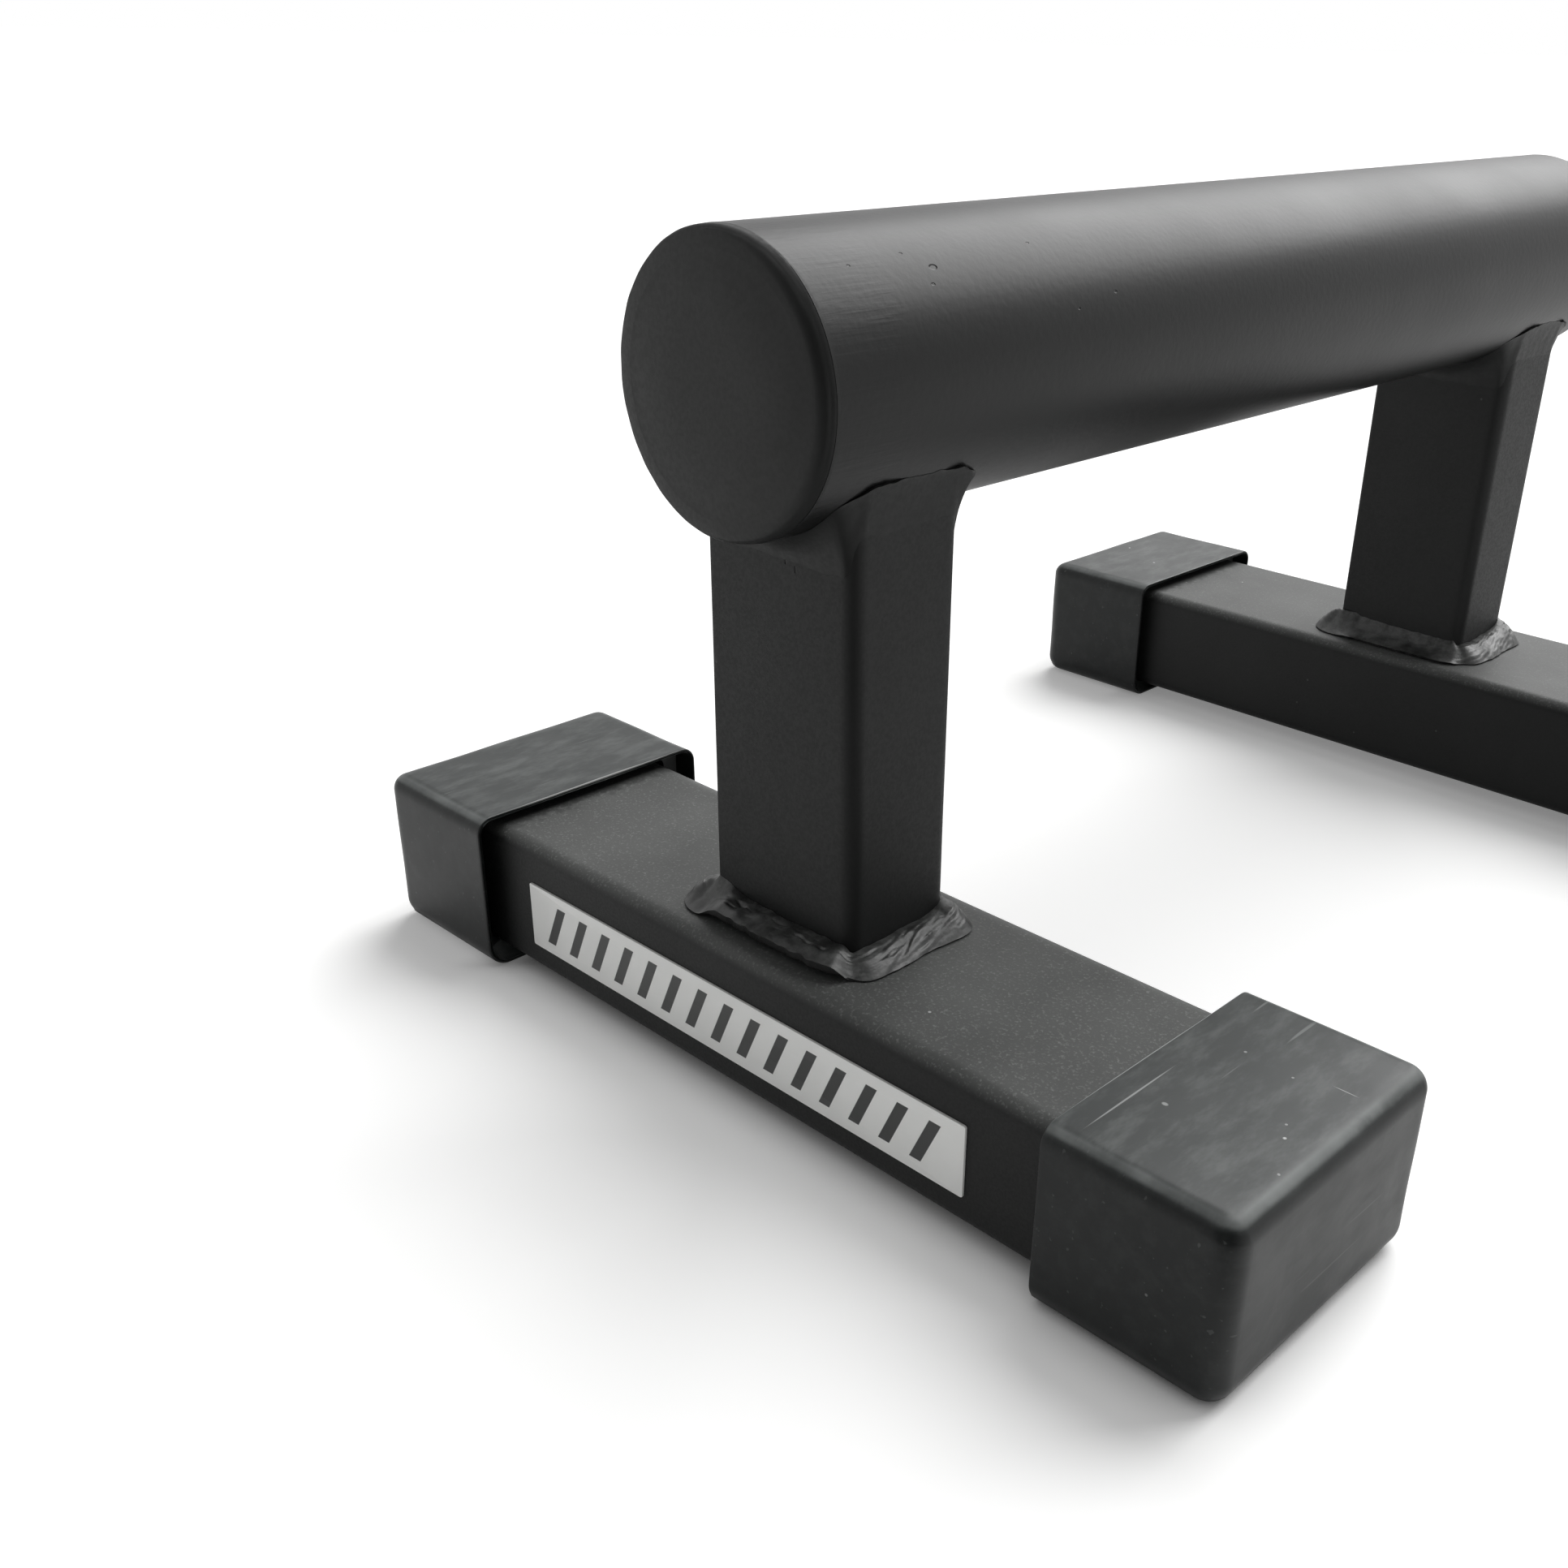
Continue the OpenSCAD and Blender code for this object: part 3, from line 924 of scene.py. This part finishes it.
def cap_mouth(end, side):
    """Rings from inside a cap, where it grips the bar, out through its wider mouth and round the lip."""
    rings = [bar_ring(end, side, x) for x in (BAR_X, CAP_MOUTH + CAP_GRIPS_FROM)]
    rings.append(cap_ring(end, side, CAP_MOUTH + CAP_POCKET, CAP_POCKET_WALL))
    rings.append(cap_ring(end, side, CAP_MOUTH, CAP_RIM))
    for k in range(CAP_LIP_STEPS + 1):
        angle = math.pi * k / CAP_LIP_STEPS
        x = CAP_MOUTH + CAP_LIP * (1 - math.sin(angle))
        rings.append(cap_ring(end, side, x, CAP_LIP * (1 + math.cos(angle))))
    return rings


def cap_outside(end, side):
    """Rings from the lip along the cap's outside, round the bend and in over its end."""
    lip_end = CAP_MOUTH + CAP_LIP
    bend_from = CAP_END - CAP_BEND_R
    rings = []
    for k in range(1, CAP_LENGTHS + 1):
        rings.append(cap_ring(end, side, lip_end + (bend_from - lip_end) * k / CAP_LENGTHS, 0))
    for k in range(1, CAP_BEND_STEPS + 1):
        angle = math.pi / 2 * k / CAP_BEND_STEPS
        x = bend_from + CAP_BEND_R * math.sin(angle)
        rings.append(cap_ring(end, side, x, CAP_BEND_R * (1 - math.cos(angle))))
    inward = CAP_TOP / 2 - CAP_BEND_R - CAP_END_GAP
    for k in range(1, CAP_END_RINGS + 1):
        rings.append(cap_ring(end, side, CAP_END, CAP_BEND_R + inward * k / (CAP_END_RINGS + 1)))
    return rings


def make_cap(label, end, side, material):
    skin = loft(cap_mouth(end, side) + cap_outside(end, side))
    seed = 17 + 2 * end + side
    roughen(skin, 0.3 * MM, 14 * MM, seed, keep=lambda place: place.z > CAP_FLAT_TO)
    finish_piece(skin, label + "_rubber_boot", label + "_foot_cap", material)


def bead_stations(end):
    """Points round a post, their outward directions and how far along the round each lies."""
    listed = []
    along = 0
    before = None
    for (u, v), (nu, nv) in rounded_outline(POST_X, POST_HALF_Y, POST_RADII, BEAD_STEPS):
        place = Vector((u, end * POST_Y + v, 0))
        if before is not None:
            along += (place - before).length
        before = place
        listed.append((place, Vector((nu, nv, 0)), along))
    return listed


def foot_shares(place, outward, end):
    """How far a section of the foot weld lies beside the post, in the plate, behind it and in the seam."""
    beside = ease(abs(outward.x), 0.35, 0.85)
    plate = ease(-outward.y, 0.1, 0.7) * (1 - beside) * ease(place.x, PLATE_FROM, PLATE_FULL)
    plate *= PLATE_SHARES[end]
    hidden = ease(outward.y, 0.2, 1)
    seam = hump(math.degrees(math.atan2(outward.y, outward.x)), SEAM_TURN, 13)
    return beside, plate, hidden, seam


def foot_corner_rise(place, end):
    """What the foot weld gains in height at its front left and rear right corners, in millimetres."""
    corners = ((-POST_X, end * POST_Y - POST_HALF_Y), (POST_X, end * POST_Y + POST_HALF_Y))
    away = min(math.hypot(place.x - x, place.y - y) for x, y in corners)
    return 2.2 * hump(away, 0, 5 * MM)


def foot_lift(t, along, end, beside, plate, seam):
    """What belly, ripples, nicks, lumps and the seam add at share t of the way out, in millimetres."""
    arch = math.sin(math.pi * t)
    belly = (1.25 * beside - 0.9 * (1 - beside) * (1 - plate) + 0.35 * plate) * arch
    ripple = noise.noise(Vector((t * 8.5 + along / (3.4 * MM), along / (5.5 * MM), 4 + end)))
    ripple += 0.6 * noise.noise(Vector((t * 17 + along / (1.8 * MM), along / (2.5 * MM), 9 + end)))
    band = ease(t, 0.12, 0.3) * (1 - ease(t, 0.93, 1))
    nick = ease(noise.noise(Vector((along / (2.6 * MM), t * 7, 7.5 + end))), 0.2, 0.5)
    nick *= hump(t, 0.42, 0.16) * plate
    lump = noise.noise(Vector((along / (4 * MM), t * 2.5, 2.5 - end))) * 0.35 * arch
    crease = seam * (0.5 + 0.9 * t)
    return belly + 0.32 * ripple * band * beside - 0.4 * nick + lump - crease * 0.6


def foot_underside(place, outward, reach, edge, plate):
    """The edge of the foot weld, the undercut below it and the way back to the post."""
    tuck = (0.3 + 3.1 * plate) * MM
    under = BAR_TOP + edge * (1 - 0.35 * plate)
    return [
        place + outward * (reach - 0.1 * tuck) + Vector((0, 0, under - 0.15 * edge)),
        place + outward * (reach - tuck) + Vector((0, 0, under - 0.35 * edge)),
        place + outward * (reach - tuck) + Vector((0, 0, BAR_TOP)),
        place - outward * WELD_SINK + Vector((0, 0, BAR_TOP)),
    ]


def foot_section(place, outward, along, end):
    """One section of the weld round a post's foot, from the post's wall out to the bar."""
    seed = Vector((3.7 * end, 1.3, 5.1))
    slow = noise.noise(place / (8 * MM) + seed)
    quick = noise.noise(place / (2.2 * MM) + seed)
    beside, plate, hidden, seam = foot_shares(place, outward, end)
    rise = foot_corner_rise(place, end) + FOOT_RISES[end]
    height = (3.7 - beside + rise + 0.45 * slow + 0.3 * quick) * MM
    reach = FOOT_WELD_OUT - (0.55 + 0.5 * slow + 0.3 * quick + 0.8 * seam + 2.4 * hidden) * MM
    edge = (0.4 + 2.6 * plate + 0.3 * quick * plate) * MM
    ring = []
    for k in range(FOOT_ACROSS + 1):
        t = k / FOOT_ACROSS
        level = height * (1 - t) + edge * t + foot_lift(t, along, end, beside, plate, seam) * MM
        level = min(max(level, FOOT_WELD_LEAST), FOOT_WELD_HIGH)
        ring.append(place + outward * reach * t + Vector((0, 0, BAR_TOP + level)))
    return ring + foot_underside(place, outward, reach, edge, plate)


def saddle_standoff(place, end, beside):
    """How far the edge of the saddle weld stands off the grip, most at the gaps beside the post."""
    from_middle = place.y - end * POST_Y
    gap = max(math.exp(-((from_middle - y) / (4 * MM)) ** 4) for y in SADDLE_GAPS)
    return (0.04 + 0.5 * gap * beside) * MM


def saddle_section(place, outward, along, end):
    """One section of the weld under the grip, from the post's wall out to the grip."""
    seed = Vector((2.9 * end, 4.1, 0.7))
    slow = noise.noise(place / (7 * MM) + seed)
    quick = noise.noise(place / (2 * MM) + seed)
    beside = ease(abs(outward.x), 0.2, 0.95)
    reach = (4.3 - 2.3 * beside + 0.4 * slow + 0.2 * quick) * MM
    low = place + Vector((0, 0, SADDLE_LOW + (3.2 * beside + 0.4 * slow + 0.35 * quick) * MM))
    far = place + outward * reach
    far.z = grip_underside(far.x)
    bend = place + outward * 0.12 * reach
    bend.z = low.z + (far.z - low.z) * (0.62 + 0.1 * beside)
    step = 0.15 * MM * (1 - beside) - 0.25 * MM * beside
    ring = []
    for k in range(SADDLE_ACROSS + 1):
        t = k / SADDLE_ACROSS
        curve = low * (1 - t) ** 2 + bend * 2 * t * (1 - t) + far * t ** 2
        lump = noise.noise(Vector((along / (3 * MM), t * 4, 6 + end))) * 0.08 * MM
        ring.append(curve + outward * (lump * math.sin(math.pi * t) + step * (1 - t)))
    off_grip = Vector((far.x, 0, far.z - GRIP_Z)).normalized()
    ring[-1] = ring[-1] + off_grip * saddle_standoff(place, end, beside)
    ring.append(far - outward * 0.9 * MM + off_grip * 0.1 * MM)
    ring.append(place - outward * WELD_SINK + Vector((0, 0, grip_underside(place.x))))
    ring.append(low - outward * WELD_SINK)
    return ring


def make_post_weld(label, end, section, name, node, material):
    """A weld all round a post, from one section at each station."""
    rings = [section(place, outward, along, end) for place, outward, along in bead_stations(end)]
    skin = loft(rings, closed=True)
    finish_piece(skin, label + "_post_" + name, label + "_post_" + node, material, 50)


def make_label(material):
    """A thin film with small round corners and a soft edge."""
    low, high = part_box("front_label")
    middle_x = (high[0] + low[0]) / 2
    middle_z = (high[2] + low[2]) / 2
    half_x = (high[0] - low[0]) / 2
    half_z = (high[2] - low[2]) / 2
    front = low[1]
    profile = (
        (high[1], 0),
        (front + LABEL_EDGE, 0),
        (front + 0.3 * LABEL_EDGE, 0.3 * LABEL_EDGE),
        (front, LABEL_EDGE),
    )
    rings = []
    for y, shrink in profile:
        radii = (LABEL_CORNER_R - shrink,) * 4
        outline = rounded_outline(half_x - shrink, half_z - shrink, radii, LABEL_STEPS)
        rings.append([(middle_x + u, y, middle_z + v) for (u, v), _ in outline])
    finish_piece(loft(rings), "front_label_film", "front_label", material)


make_camera()
make_floor()
make_cards()
make_light()

frame_paint = frame_coat()
grip_paint = grip_coat()
matt_paint = matt_coat()
weld_paint = weld_coat()
rubber = cap_rubber()
make_grip_tube(grip_paint)
for label, end in ENDS.items():
    make_end_disc(label, end, matt_paint)
    make_end_bead(label, end, matt_paint)
    make_post(label, end, frame_paint)
    make_base_bar(label, end, frame_paint)
    make_post_weld(label, end, foot_section, "foot_bead", "foot_weld", weld_paint)
    make_post_weld(label, end, saddle_section, "saddle_bead", "saddle_weld", matt_paint)
    for side_label, side in SIDES.items():
        make_cap(label + "_" + side_label, end, side, rubber)
make_label(label_film())

bpy.context.scene.view_settings.view_transform = "Standard"
